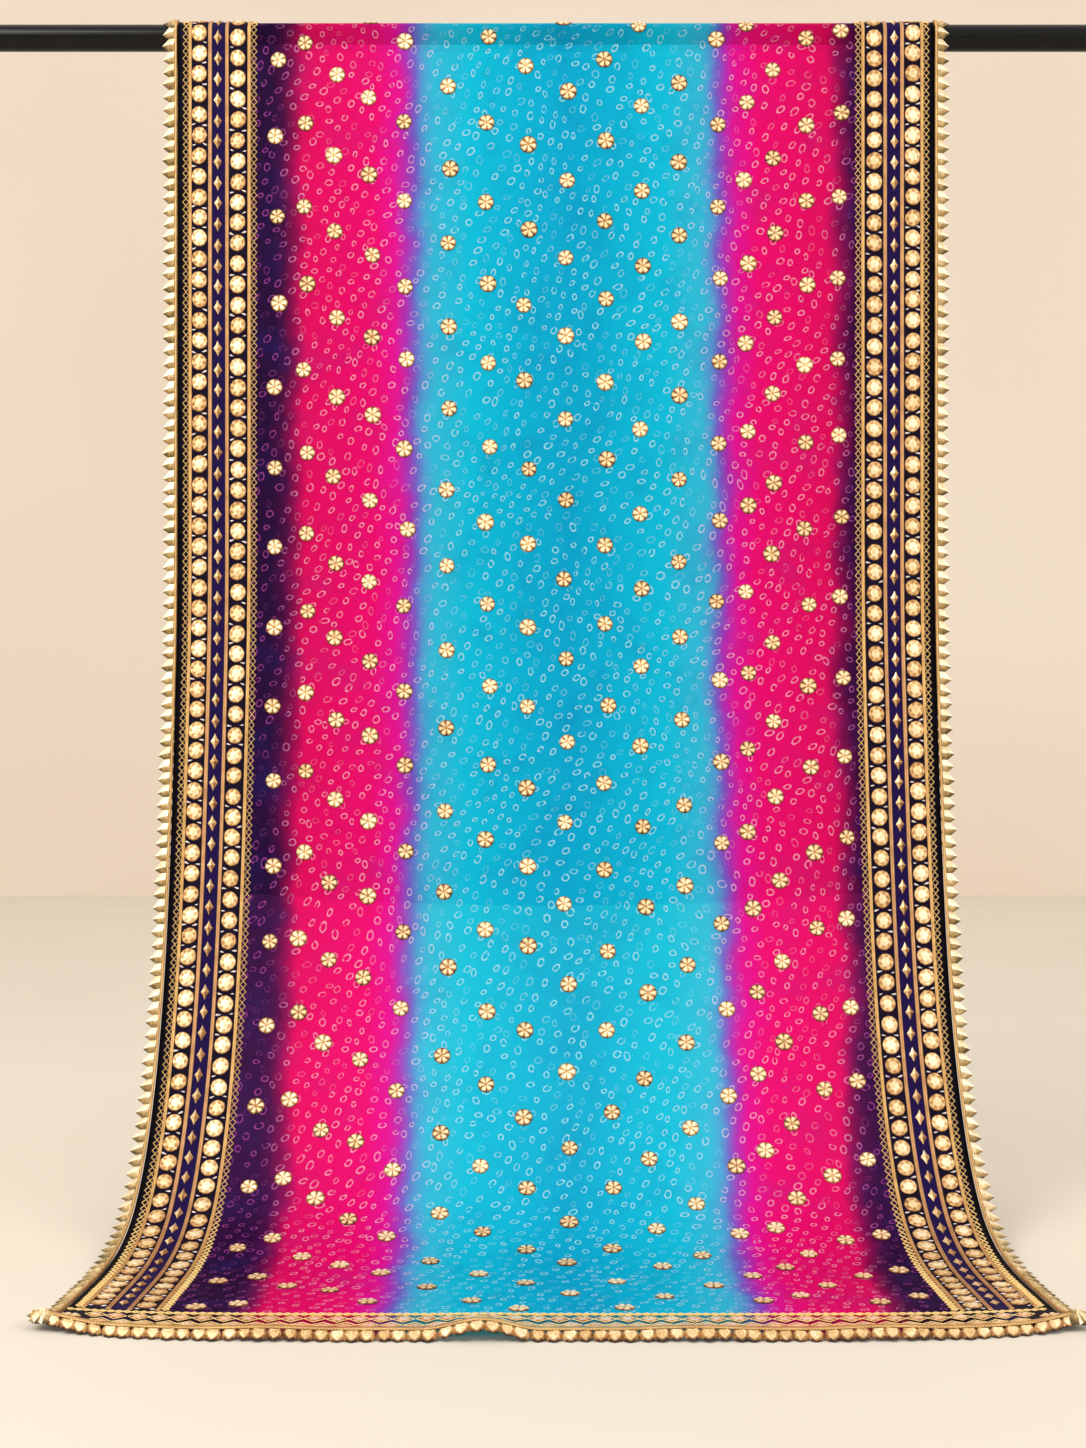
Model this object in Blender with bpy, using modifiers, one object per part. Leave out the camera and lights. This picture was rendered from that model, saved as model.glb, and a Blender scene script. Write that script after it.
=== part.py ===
"""Gota shawl over a hanging rod.

A sheer bandhani shawl hangs over a round rod. The front falls straight, sweeps forward
and lies on the floor, and the back hangs free. Dark tapes, gold braids and gold laces run
down both sides, pointed gold edging finishes the sides and scalloped edging the front end.

The front faces -Y, the floor is z = 0, the middle of the rod is on x = 0, and y = 0 is
half way between the back of the shawl and its front end.
Every strip is mapped onto the cloth with on_cloth(across, along, lift).
"""
import math
from bisect import bisect_right
from collections import namedtuple

import bmesh
import bpy
from mathutils import Vector

# Rod
ROD_RADIUS = 0.014
ROD_LENGTH = 1.40
ROD_SIDES = 48
ROD_Y = 0.26972

# Cloth
CLOTH_THICK = 0.0012
CLOTH_HALF = 0.4216
ROD_GAP = 0.0005
WRAP_RADIUS = ROD_RADIUS + ROD_GAP + CLOTH_THICK / 2
QUARTER = WRAP_RADIUS * math.pi / 2
FRONT_LENGTH = 1.674
BACK_LENGTH = 0.998
BACK_SAG = 0.020
HEM_BOW = 0.030

# Trimmings
GAP = 0.0003
TRIM_THICK = 0.0008
POINT_PITCH = 0.01412
POINT_REACH = 0.0151
POINT_BASE = 0.0016
SCALLOP_COUNT = 58
SCALLOP_REACH = 0.0160
SCALLOP_BASE = 0.0030
END_BORDER = 0.0660

# How the front leaves the vertical: length below the rod's middle, lean in degrees
Lean = namedtuple("Lean", "below degrees")
FRONT_LEAN = [
    Lean(0.000, 0.0),
    Lean(0.553, 0.0),
    Lean(0.643, 3.0),
    Lean(0.713, 6.5),
    Lean(0.793, 7.8),
    Lean(0.893, 9.4),
    Lean(0.993, 12.4),
    Lean(1.073, 17.6),
    Lean(1.143, 24.0),
    Lean(1.216, 32.5),
    Lean(1.275, 44.5),
    Lean(1.314, 54.0),
    Lean(1.347, 67.0),
    Lean(1.393, 79.0),
    Lean(1.445, 87.0),
    Lean(1.484, 90.0),
    Lean(1.800, 90.0),
]

# Soft upright folds: place across, half width, height towards the viewer,
# and the stretch of the shawl (metres from the rod's top) over which they last
Fold = namedtuple("Fold", "across spread rise start stop")
FOLDS = [
    Fold(-0.262, 0.034, 0.0030, 0.03, 0.90),
    Fold(-0.196, 0.026, -0.0022, 0.03, 0.70),
    Fold(-0.092, 0.048, 0.0018, 0.10, 1.20),
    Fold(0.016, 0.022, 0.0030, 0.03, 0.62),
    Fold(0.058, 0.026, -0.0020, 0.03, 0.80),
    Fold(0.150, 0.050, 0.0022, 0.20, 1.25),
    Fold(0.246, 0.038, -0.0020, 0.05, 0.95),
    Fold(-0.230, 0.060, 0.0060, -0.99, -0.04),
    Fold(-0.060, 0.055, -0.0010, -0.99, -0.06),
    Fold(0.110, 0.070, 0.0070, -0.99, -0.04),
    Fold(0.262, 0.045, -0.0010, -0.99, -0.10),
]

# Lifts of the hem off the floor: place across, half width, height, reach back from the end
Lift = namedtuple("Lift", "across spread rise reach")
HEM_LIFTS = [
    Lift(-0.064, 0.024, 0.0080, 0.075),
    Lift(0.108, 0.034, 0.0016, 0.050),
    Lift(0.262, 0.030, 0.0018, 0.045),
    Lift(-0.238, 0.030, 0.0014, 0.045),
    Lift(-0.440, 0.036, 0.0060, 0.060),
    Lift(0.440, 0.036, 0.0050, 0.060),
]

# Side strips, measured from the shawl's middle line: level 1 lies on the cloth,
# level 2 on the tape; those with to_end reach the front end
Strip = namedtuple("Strip", "name inner outer level to_end finish")
SIDE_STRIPS = [
    Strip("tape", 0.3391, 0.4210, 1, True, "night_tape"),
    Strip("lace_inner", 0.3318, 0.3387, 1, False, "gold_lace"),
    Strip("braid_inner", 0.3394, 0.3440, 2, False, "gold_braid"),
    Strip("braid_mid_inner", 0.3641, 0.3692, 2, False, "gold_braid"),
    Strip("braid_mid_outer", 0.3833, 0.3879, 2, False, "copper_braid"),
    Strip("braid_outer", 0.4062, 0.4095, 2, False, "gold_braid"),
    Strip("lace_outer", 0.4099, 0.4164, 2, False, "gold_lace"),
]
FRONT_STRIPS = [
    Strip("end_lace", 0.0600, 0.0660, 2, True, "gold_lace"),
    Strip("end_braid", 0.0020, 0.0062, 2, True, "gold_braid"),
]

# Rows of the cloth counted back from the front end, on the strips' edges
END_ROWS = [END_BORDER, FRONT_STRIPS[0].inner, 0.0330, FRONT_STRIPS[1].outer, FRONT_STRIPS[1].inner]
FIELD_COLUMNS = 19

Finish = namedtuple("Finish", "color roughness metallic")
FINISHES = {
    "black_paint": Finish((0.010, 0.009, 0.010), 0.22, 0.0),
    "dyed_cloth": Finish((0.020, 0.440, 0.600), 0.75, 0.0),
    "night_tape": Finish((0.016, 0.007, 0.036), 0.70, 0.0),
    "gold_braid": Finish((0.620, 0.360, 0.110), 0.38, 0.7),
    "copper_braid": Finish((0.480, 0.230, 0.110), 0.38, 0.7),
    "gold_lace": Finish((0.640, 0.400, 0.130), 0.40, 0.7),
    "gold_edging": Finish((0.680, 0.480, 0.230), 0.36, 0.7),
}


def between(table, value):
    """Lean at a length below the rod, straight between the rows of the table."""
    for low, high in zip(table, table[1:]):
        if value <= high.below:
            share = (value - low.below) / (high.below - low.below)
            return low.degrees + share * (high.degrees - low.degrees)
    return table[-1].degrees


def front_course(step=0.002):
    """Forward reach, drop and lean every step below the rod's middle."""
    course = [(0.0, 0.0, 0.0)]
    forward, drop = 0.0, 0.0
    for index in range(int(FRONT_LEAN[-1].below / step)):
        lean = math.radians(between(FRONT_LEAN, (index + 0.5) * step))
        forward += step * math.sin(lean)
        drop += step * math.cos(lean)
        course.append((forward, drop, lean))
    return step, course


COURSE_STEP, COURSE = front_course()
LEAN_GROWS = QUARTER + 0.993
ROD_HEIGHT = COURSE[-1][1] + CLOTH_THICK / 2


def middle_line(along):
    """Point and outward normal, in the YZ plane, at a length from the rod's top."""
    if abs(along) <= QUARTER:
        turn = along / WRAP_RADIUS
        normal = Vector((0.0, -math.sin(turn), math.cos(turn)))
        return Vector((0.0, ROD_Y, ROD_HEIGHT)) + normal * WRAP_RADIUS, normal
    if along < 0.0:
        point = Vector((0.0, ROD_Y + WRAP_RADIUS, ROD_HEIGHT + along + QUARTER))
        return point, Vector((0.0, 1.0, 0.0))
    place = (along - QUARTER) / COURSE_STEP
    row = min(int(place), len(COURSE) - 2)
    share = place - row
    here, there = COURSE[row], COURSE[row + 1]
    forward, drop, lean = [a + (b - a) * share for a, b in zip(here, there)]
    point = Vector((0.0, ROD_Y - WRAP_RADIUS - forward, ROD_HEIGHT - drop))
    return point, Vector((0.0, -math.cos(lean), math.sin(lean)))


def bell(value):
    """Smooth rise and fall, one at the middle and nothing past one either way."""
    return math.cos(value * math.pi / 2) ** 2 if abs(value) < 1.0 else 0.0


def fold_height(across, along):
    """Sum of the soft folds at a place on the cloth."""
    height = 0.0
    for fold in FOLDS:
        middle = (fold.start + fold.stop) / 2
        half = (fold.stop - fold.start) / 2
        ends = min(1.0, 1.7 * bell((along - middle) / half))
        height += fold.rise * bell((across - fold.across) / (2 * fold.spread)) * ends
    return height


def hem_lift(across, along):
    """Height of the hem off the floor."""
    return sum(lift.rise
               * bell((across - lift.across) / (2 * lift.spread))
               * bell(min(0.0, (along - FRONT_LENGTH) / lift.reach))
               for lift in HEM_LIFTS)


def real_along(across, along):
    """Length from the rod's top once the back's sag and the hem's bow are taken out."""
    side = min(1.0, abs(across) / CLOTH_HALF)
    if along < 0.0:
        return along * (1.0 - BACK_SAG * side ** 2 / BACK_LENGTH)
    floor_start = QUARTER + FRONT_LEAN[-2].below
    if along <= floor_start:
        return along
    lying = FRONT_LENGTH - floor_start
    return floor_start + (along - floor_start) * (1.0 - HEM_BOW * side ** 6 / lying)


def smooth_point(across, along):
    """Point on the cloth's middle surface and its normal."""
    point, normal = middle_line(real_along(across, along))
    point = point + normal * fold_height(across, along)
    return Vector((across, point.y, point.z + hem_lift(across, along))), normal


def spaced(start, stop, count):
    """Evenly spaced values from start up to, but not with, stop."""
    return [start + (stop - start) * index / count for index in range(count)]


def along_stations():
    """Rows of the cloth, close together where it bends."""
    lean_start = QUARTER + FRONT_LEAN[1].below
    floor_start = QUARTER + FRONT_LEAN[-2].below
    border = FRONT_LENGTH - END_BORDER
    return (spaced(-BACK_LENGTH, -QUARTER, 7)
            + spaced(-QUARTER, QUARTER, 10)
            + spaced(QUARTER, lean_start, 4)
            + spaced(lean_start, LEAN_GROWS, 5)
            + spaced(LEAN_GROWS, floor_start, 14)
            + spaced(floor_start, border, 2)
            + [FRONT_LENGTH - back for back in END_ROWS]
            + [FRONT_LENGTH, FRONT_LENGTH + 0.030])


def across_stations():
    """Columns of the cloth: the edges of the tapes, and even columns in the field."""
    side = [SIDE_STRIPS[1].inner, SIDE_STRIPS[0].inner, 0.380, CLOTH_HALF, 0.445]
    field = [-side[0] + 2 * side[0] * index / FIELD_COLUMNS for index in range(1, FIELD_COLUMNS)]
    return [-value for value in reversed(side)] + field + side


ROWS = along_stations()
COLUMNS = across_stations()
NODES = [[smooth_point(across, along) for across in COLUMNS] for along in ROWS]


def cell(stations, value):
    """Index of the span that holds a value, and the share of the way across it."""
    index = min(max(bisect_right(stations, value) - 1, 0), len(stations) - 2)
    return index, (value - stations[index]) / (stations[index + 1] - stations[index])


def on_cloth(across, along, lift=0.0):
    """Point at a height over the cloth's middle surface, flat between its rows and columns."""
    row, down = cell(ROWS, along)
    column, over = cell(COLUMNS, across)
    result = Vector((0.0, 0.0, 0.0))
    for r, share_down in ((row, 1.0 - down), (row + 1, down)):
        for c, share_over in ((column, 1.0 - over), (column + 1, over)):
            point, normal = NODES[r][c]
            result += (point + normal * lift) * share_down * share_over
    return result


def clear_scene():
    """Remove what the new file holds."""
    for item in list(bpy.data.objects):
        bpy.data.objects.remove(item, do_unlink=True)


def make_material(name):
    """Principled material from the table of finishes."""
    finish = FINISHES[name]
    material = bpy.data.materials.new(name)
    material.use_nodes = True
    shader = material.node_tree.nodes["Principled BSDF"]
    shader.inputs["Base Color"].default_value = (*finish.color, 1.0)
    shader.inputs["Roughness"].default_value = finish.roughness
    shader.inputs["Metallic"].default_value = finish.metallic
    return material


def strip_sheet(columns, rows):
    """Flat grid in shawl coordinates, x across and y along, with the given lines."""
    sheet = bmesh.new()
    bmesh.ops.create_grid(sheet, x_segments=len(columns) - 1, y_segments=len(rows) - 1, size=1.0)
    for vert in sheet.verts:
        column = round((vert.co.x + 1.0) / 2.0 * (len(columns) - 1))
        row = round((vert.co.y + 1.0) / 2.0 * (len(rows) - 1))
        vert.co = (columns[column], rows[row], 0.0)
    return sheet


def rows_between(start, stop):
    """The cloth's rows inside a stretch, with both of its ends."""
    return [start] + [row for row in ROWS if start + 1e-5 < row < stop - 1e-5] + [stop]


def columns_between(start, stop):
    """The cloth's columns inside a span, with both of its ends."""
    return [start] + [col for col in COLUMNS if start + 1e-5 < col < stop - 1e-5] + [stop]


def drape(sheet, name, finish, lift, thickness, collection):
    """Map a flat sheet onto the cloth and give it its thickness outwards."""
    for vert in sheet.verts:
        across, along = vert.co.x, vert.co.y
        height = lift(across) if callable(lift) else lift
        vert.co = on_cloth(across, along, height)
    bmesh.ops.reverse_faces(sheet, faces=sheet.faces)
    mesh = bpy.data.meshes.new(name)
    sheet.to_mesh(mesh)
    sheet.free()
    piece = bpy.data.objects.new(name, mesh)
    collection.objects.link(piece)
    mesh.materials.append(materials[finish])
    mesh.shade_smooth()
    mesh.set_sharp_from_angle(angle=math.radians(35))
    solid = piece.modifiers.new("Thickness", "SOLIDIFY")
    solid.thickness = thickness
    solid.offset = 1.0
    solid.use_even_offset = False
    return piece


def level_lift(level):
    """Height of a strip's underside over the cloth's middle surface."""
    return CLOTH_THICK / 2 + GAP + (level - 1) * (TRIM_THICK + GAP)


def end_lift(across):
    """Underside of the strips along the front end: on the cloth, then up over the tapes."""
    inner, outer = SIDE_STRIPS[1].inner, SIDE_STRIPS[0].inner
    share = min(1.0, max(0.0, (abs(across) - inner) / (outer - GAP - inner)))
    return level_lift(1) + share * (level_lift(2) - level_lift(1))


def build_rod(collection):
    """Plain round rod along X."""
    bpy.ops.mesh.primitive_cylinder_add(
        vertices=ROD_SIDES, radius=ROD_RADIUS, depth=ROD_LENGTH,
        location=(0.0, ROD_Y, ROD_HEIGHT), rotation=(0.0, math.pi / 2, 0.0))
    rod = bpy.context.object
    rod.name = "rod"
    rod.data.name = "rod"
    rod.data.materials.append(materials["black_paint"])
    rod.data.shade_smooth()
    rod.data.set_sharp_from_angle(angle=math.radians(35))
    for owner in list(rod.users_collection):
        owner.objects.unlink(rod)
    collection.objects.link(rod)
    return rod


def build_cloth(collection):
    """The shawl's one sheet: back, wrap over the rod, front and the part on the floor."""
    sheet = strip_sheet(columns_between(-CLOTH_HALF, CLOTH_HALF),
                        rows_between(-BACK_LENGTH, FRONT_LENGTH))
    return drape(sheet, "cloth", "dyed_cloth", -CLOTH_THICK / 2, CLOTH_THICK, collection)


def build_side_strip(strip, side, collection):
    """One tape, braid or lace down a side."""
    sign = -1.0 if side == "left" else 1.0
    stop = FRONT_LENGTH if strip.to_end else FRONT_LENGTH - END_BORDER - GAP
    span = sorted((sign * strip.inner, sign * strip.outer))
    sheet = strip_sheet(columns_between(*span), rows_between(-BACK_LENGTH, stop))
    return drape(sheet, f"{strip.name}_{side}", strip.finish,
                 level_lift(strip.level), TRIM_THICK, collection)


def build_front_strip(strip, collection):
    """One lace or braid along the front end; inner and outer count back from the end."""
    half = SIDE_STRIPS[0].outer - GAP
    corners = [-SIDE_STRIPS[0].inner + GAP, SIDE_STRIPS[0].inner - GAP]
    columns = sorted(set(columns_between(-half, half) + corners))
    sheet = strip_sheet(columns, rows_between(FRONT_LENGTH - strip.outer, FRONT_LENGTH - strip.inner))
    return drape(sheet, strip.name, strip.finish, end_lift, TRIM_THICK, collection)


def edge_line(sheet, axis, value):
    """Edges of a flat sheet that lie on one straight line, in order along it."""
    other = 1 - axis
    edges = [edge for edge in sheet.edges
             if all(abs(vert.co[axis] - value) < 1e-6 for vert in edge.verts)]
    return sorted(edges, key=lambda edge: edge.verts[0].co[other] + edge.verts[1].co[other])


def grow(sheet, edges):
    """Extrude edges in place and give the new verts."""
    result = bmesh.ops.extrude_edge_only(sheet, edges=edges)
    return [item for item in result["geom"] if isinstance(item, bmesh.types.BMVert)]


def build_points(side, collection):
    """Pointed edging down a side: a narrow heading with one point at each pitch."""
    sign = -1.0 if side == "left" else 1.0
    inner = CLOTH_HALF + GAP
    outer = inner + POINT_BASE
    count = round((FRONT_LENGTH + BACK_LENGTH) / POINT_PITCH)
    steps = [-BACK_LENGTH + (FRONT_LENGTH + BACK_LENGTH) * index / count for index in range(count + 1)]
    halves = [(a + b) / 2 for a, b in zip(steps, steps[1:]) if a < QUARTER and b > -QUARTER]
    rows = sorted(steps + halves)
    sheet = strip_sheet(sorted((sign * inner, sign * outer)), rows)
    edges = edge_line(sheet, 0, sign * outer)
    for low, high in zip(steps, steps[1:]):
        part = [edge for edge in edges
                if low < (edge.verts[0].co.y + edge.verts[1].co.y) / 2 < high]
        tip = Vector((sign * (outer + POINT_REACH), (low + high) / 2, 0.0))
        bmesh.ops.pointmerge(sheet, verts=grow(sheet, part), merge_co=tip)
    return drape(sheet, f"edging_{side}", "gold_edging", -0.0003, TRIM_THICK, collection)


def build_scallops(collection):
    """Scalloped edging along the front end, each scallop two edges wide."""
    inner = FRONT_LENGTH + GAP
    outer = inner + SCALLOP_BASE
    half = CLOTH_HALF + POINT_BASE + POINT_REACH - 0.004
    columns = [-half + half * index / SCALLOP_COUNT for index in range(2 * SCALLOP_COUNT + 1)]
    sheet = strip_sheet(columns, [inner, outer])
    edges = edge_line(sheet, 1, outer)
    for pair in zip(edges[0::2], edges[1::2]):
        ends = sorted({vert.co.x for edge in pair for vert in edge.verts})
        middle = ends[1]
        for vert in grow(sheet, list(pair)):
            at_middle = abs(vert.co.x - middle) < 1e-6
            vert.co.y += SCALLOP_REACH * (1.0 if at_middle else 0.62)
            vert.co.x = middle + (vert.co.x - middle) * 0.80
    return drape(sheet, "edging_front", "gold_edging", -0.0003, TRIM_THICK, collection)


clear_scene()
materials = {name: make_material(name) for name in FINISHES}
shawl = bpy.data.collections.new("gota_shawl")
bpy.context.scene.collection.children.link(shawl)

build_rod(shawl)
build_cloth(shawl)
for hand in ("left", "right"):
    for row in SIDE_STRIPS:
        build_side_strip(row, hand, shawl)
    build_points(hand, shawl)
for row in FRONT_STRIPS:
    build_front_strip(row, shawl)
build_scallops(shawl)
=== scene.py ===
# %% [markdown]
# # A gota shawl over a hanging rod
# This lesson dresses a plain model of a shawl. The cloth is dyed in bands of turquoise,
# violet, pink and purple, and tied by hand so that small pale rings stay in it. Gold
# ribbon work, called gota, is sewn on in rows: crimped discs, diamonds, laces and points.
# The solids come first, as a fixed frame, because every piece here is laid on them.

# %% Load the fixed frame
import math
import random
from collections import namedtuple

import bmesh
import bpy
import numpy as np
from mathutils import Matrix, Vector


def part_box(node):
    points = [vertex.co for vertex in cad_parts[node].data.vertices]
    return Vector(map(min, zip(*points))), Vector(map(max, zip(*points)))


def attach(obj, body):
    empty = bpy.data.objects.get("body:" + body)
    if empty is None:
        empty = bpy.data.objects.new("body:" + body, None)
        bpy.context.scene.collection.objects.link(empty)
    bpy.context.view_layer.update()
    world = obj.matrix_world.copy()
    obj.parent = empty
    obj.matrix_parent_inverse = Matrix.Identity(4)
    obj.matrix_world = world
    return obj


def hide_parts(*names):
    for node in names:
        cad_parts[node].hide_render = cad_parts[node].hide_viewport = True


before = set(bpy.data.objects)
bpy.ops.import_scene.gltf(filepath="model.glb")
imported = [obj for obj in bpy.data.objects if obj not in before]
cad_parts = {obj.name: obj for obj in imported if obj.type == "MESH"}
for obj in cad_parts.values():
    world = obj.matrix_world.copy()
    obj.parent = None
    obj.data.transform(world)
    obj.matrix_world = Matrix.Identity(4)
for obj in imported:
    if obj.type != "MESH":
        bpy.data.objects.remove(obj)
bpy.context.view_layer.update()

# %% [markdown]
# ## The camera and the room
# The photograph was taken level, low and close, with the picture shifted up so that the
# upright lines stay upright. A camera that looks along +Y with a shift does the same.
# The plain view transform is used, because the usual one would dull the dyes.

# %% Camera
PICTURE_WIDTH, PICTURE_HEIGHT = 1086, 1448
FOCAL_POINTS = 1709
EYE = Vector((-0.01456, -1.6493, 0.3909))
SENSOR = 36.0
RISE = 128.5

camera_data = bpy.data.cameras.new("camera")
camera_data.sensor_width = SENSOR
camera_data.lens = FOCAL_POINTS / PICTURE_HEIGHT * SENSOR
camera_data.shift_y = RISE / PICTURE_HEIGHT
camera = bpy.data.objects.new("camera", camera_data)
camera.location = EYE
camera.rotation_euler = (math.pi / 2, 0.0, 0.0)
bpy.context.scene.collection.objects.link(camera)
bpy.context.scene.camera = camera
bpy.context.scene.view_settings.view_transform = "Standard"
print("lens:", round(camera_data.lens, 2), "mm")

# %% [markdown]
# ## The course of the cloth
# A shawl is easiest to sew on a table, so every piece below is made flat and then hung.
# On the table x runs across the shawl, y runs up it from the rod's top, and z is the
# height over the cloth. `hang` carries flat points to the draped cloth: up the back, over
# the rod, down the front and out over the floor, with the same folds as the solid. Only
# the hem is rolled a little higher, so that the scallops don't hide the end border.

# %% Measures of the shawl
ROD_LOW, ROD_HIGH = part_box("rod")
ROD_RADIUS = (ROD_HIGH.z - ROD_LOW.z) / 2
ROD_Y = (ROD_HIGH.y + ROD_LOW.y) / 2
ROD_HEIGHT = (ROD_HIGH.z + ROD_LOW.z) / 2
WRAP_GAP = 0.0011
WRAP_RADIUS = ROD_RADIUS + WRAP_GAP
QUARTER = WRAP_RADIUS * math.pi / 2
FRONT_LENGTH = 1.674
BACK_LENGTH = 0.998
CLOTH_HALF = 0.4216
BACK_SAG = 0.020
HEM_BOW = 0.030
END_BORDER = 0.066

Lean = namedtuple("Lean", "below degrees")
FRONT_LEAN = [
    Lean(0.000, 0.0), Lean(0.553, 0.0), Lean(0.643, 3.0), Lean(0.713, 6.5),
    Lean(0.793, 7.8), Lean(0.893, 9.4), Lean(0.993, 12.4), Lean(1.073, 17.6),
    Lean(1.143, 24.0), Lean(1.216, 32.5), Lean(1.275, 44.5), Lean(1.314, 54.0),
    Lean(1.347, 67.0), Lean(1.393, 79.0), Lean(1.445, 87.0), Lean(1.484, 90.0),
    Lean(1.800, 90.0),
]
FLOOR_START = QUARTER + FRONT_LEAN[-2].below

Fold = namedtuple("Fold", "across spread rise start stop")
FOLDS = [
    Fold(-0.262, 0.034, 0.0030, 0.03, 0.90), Fold(-0.196, 0.026, -0.0022, 0.03, 0.70),
    Fold(-0.092, 0.048, 0.0018, 0.10, 1.20), Fold(0.016, 0.022, 0.0030, 0.03, 0.62),
    Fold(0.058, 0.026, -0.0020, 0.03, 0.80), Fold(0.150, 0.050, 0.0022, 0.20, 1.25),
    Fold(0.246, 0.038, -0.0020, 0.05, 0.95), Fold(-0.230, 0.060, 0.0060, -0.99, -0.04),
    Fold(-0.060, 0.055, -0.0010, -0.99, -0.06), Fold(0.110, 0.070, 0.0070, -0.99, -0.04),
    Fold(0.262, 0.045, -0.0010, -0.99, -0.10),
]

Lift = namedtuple("Lift", "across spread rise reach")
HEM_LIFTS = [
    Lift(-0.064, 0.024, 0.0080, 0.075), Lift(0.108, 0.034, 0.0016, 0.050),
    Lift(0.262, 0.030, 0.0018, 0.045), Lift(-0.238, 0.030, 0.0014, 0.045),
    Lift(-0.440, 0.036, 0.0060, 0.060), Lift(0.440, 0.036, 0.0050, 0.060),
]
HEM_ROLL = 0.0046
ROLL_REACH = 0.034
ROLL_FALL = 0.0125
FOLD_PLATEAU = 1.7
print("rod radius", round(ROD_RADIUS, 4), "rod height", round(ROD_HEIGHT, 4))

# %% Hang flat points on the drape
COURSE_STEP = 0.002
course_below = np.arange(0.0, FRONT_LEAN[-1].below + COURSE_STEP / 2, COURSE_STEP)
course_lean = np.radians(np.interp(course_below[:-1] + COURSE_STEP / 2,
                                   [row.below for row in FRONT_LEAN],
                                   [row.degrees for row in FRONT_LEAN]))
course_forward = np.concatenate([[0.0], np.cumsum(COURSE_STEP * np.sin(course_lean))])
course_drop = np.concatenate([[0.0], np.cumsum(COURSE_STEP * np.cos(course_lean))])
course_turn = np.concatenate([[0.0], course_lean])


def bell(value):
    """Smooth rise and fall, one at the middle and nothing past one either way."""
    return np.where(np.abs(value) < 1.0, np.cos(value * np.pi / 2) ** 2, 0.0)


def fold_height(across, along):
    """Height of the soft upright folds."""
    height = np.zeros_like(across)
    for fold in FOLDS:
        middle, half = (fold.start + fold.stop) / 2, (fold.stop - fold.start) / 2
        ends = np.minimum(1.0, FOLD_PLATEAU * bell((along - middle) / half))
        height += fold.rise * bell((across - fold.across) / (2 * fold.spread)) * ends
    return height


def hem_lift(across, along):
    """Height of the hem off the floor."""
    height = np.zeros_like(across)
    for lift in HEM_LIFTS:
        reach = bell(np.minimum(0.0, (along - FRONT_LENGTH) / lift.reach))
        height += lift.rise * bell((across - lift.across) / (2 * lift.spread)) * reach
    past = along - FRONT_LENGTH
    return height + HEM_ROLL * bell(np.where(past < 0.0, past / ROLL_REACH, past / ROLL_FALL))


def real_along(across, along):
    """Length from the rod's top, less the back's sag and the hem's bow."""
    side = np.minimum(1.0, np.abs(across) / CLOTH_HALF)
    back = along * (1.0 - BACK_SAG * side ** 2 / BACK_LENGTH)
    bow = 1.0 - HEM_BOW * side ** 6 / (FRONT_LENGTH - FLOOR_START)
    floor = FLOOR_START + (along - FLOOR_START) * bow
    return np.where(along < 0.0, back, np.where(along > FLOOR_START, floor, along))


def hang(flat):
    """Carry flat points, x across, y up and z out, to the draped cloth."""
    across, along, out = flat[:, 0], -flat[:, 1], flat[:, 2]
    place = real_along(across, along)
    below = np.maximum(place - QUARTER, 0.0)
    lean = np.interp(below, course_below, course_turn)
    turn = np.clip(place / WRAP_RADIUS, -np.pi / 2, np.pi / 2)
    normal_y = np.where(place > QUARTER, -np.cos(lean), -np.sin(turn))
    normal_z = np.where(place > QUARTER, np.sin(lean), np.cos(turn))
    y = ROD_Y - np.sin(turn) * WRAP_RADIUS - np.interp(below, course_below, course_forward)
    z = ROD_HEIGHT + np.cos(turn) * WRAP_RADIUS - np.interp(below, course_below, course_drop)
    z = z + np.minimum(place + QUARTER, 0.0)
    out = out + fold_height(across, along)
    return np.column_stack([across, y + normal_y * out, z + normal_z * out + hem_lift(across, along)])


print("hem reaches y =", round(float(hang(np.array([[0.0, -FRONT_LENGTH, 0.0]]))[0, 1]), 3))

# %% [markdown]
# ## Working by hand, in code
# The helpers below stand for what a hand does in the window: deselect all, pick the
# points that lie in a certain place, and copy a finished motif along a row.
# Two numbers are kept on each motif. `shade`, on the corners of its faces, is painted
# shade and highlight: it is high in creases and on faces turned from the light, and low
# where a face is lit. `tone`, on its points, differs from copy to copy, so that no two
# stamped pieces look alike.

# %% Helpers for picking and copying
Place = namedtuple("Place", "across up turn size side out")
HANDS = (("left", -1), ("right", 1))
SAME_POINT = 1e-6
dice = random.Random(41)
motifs = []
pieces_on_cloth = []


def deselect():
    """Nothing is selected, so that the next operator acts on the new piece alone."""
    bpy.ops.object.select_all(action="DESELECT")


def only(piece):
    """Select one piece and make it active."""
    deselect()
    piece.select_set(True)
    bpy.context.view_layer.objects.active = piece


def edit_new(name):
    """Name the new primitive and open it in edit mode, all selected."""
    piece = bpy.context.object
    piece.name = name
    motifs.append(piece)
    bpy.ops.object.mode_set(mode="EDIT")
    pick_all()
    return piece


def pick_all():
    """Select the whole open mesh."""
    bpy.ops.mesh.select_all(action="SELECT")


def pick(test):
    """Select the points of the open mesh that pass the test."""
    bpy.ops.mesh.select_mode(type="VERT")
    bpy.ops.mesh.select_all(action="DESELECT")
    data = bpy.context.object.data
    mesh = bmesh.from_edit_mesh(data)
    for vert in mesh.verts:
        vert.select_set(test(vert.co))
    mesh.select_flush_mode()
    bmesh.update_edit_mesh(data)


def stretch(x=1.0, y=1.0, z=1.0):
    """Scale what is selected about the piece's own origin."""
    bpy.ops.transform.resize(value=(x, y, z), center_override=(0.0, 0.0, 0.0))


def shift(x=0.0, y=0.0, z=0.0):
    """Move what is selected."""
    bpy.ops.transform.translate(value=(x, y, z))


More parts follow.
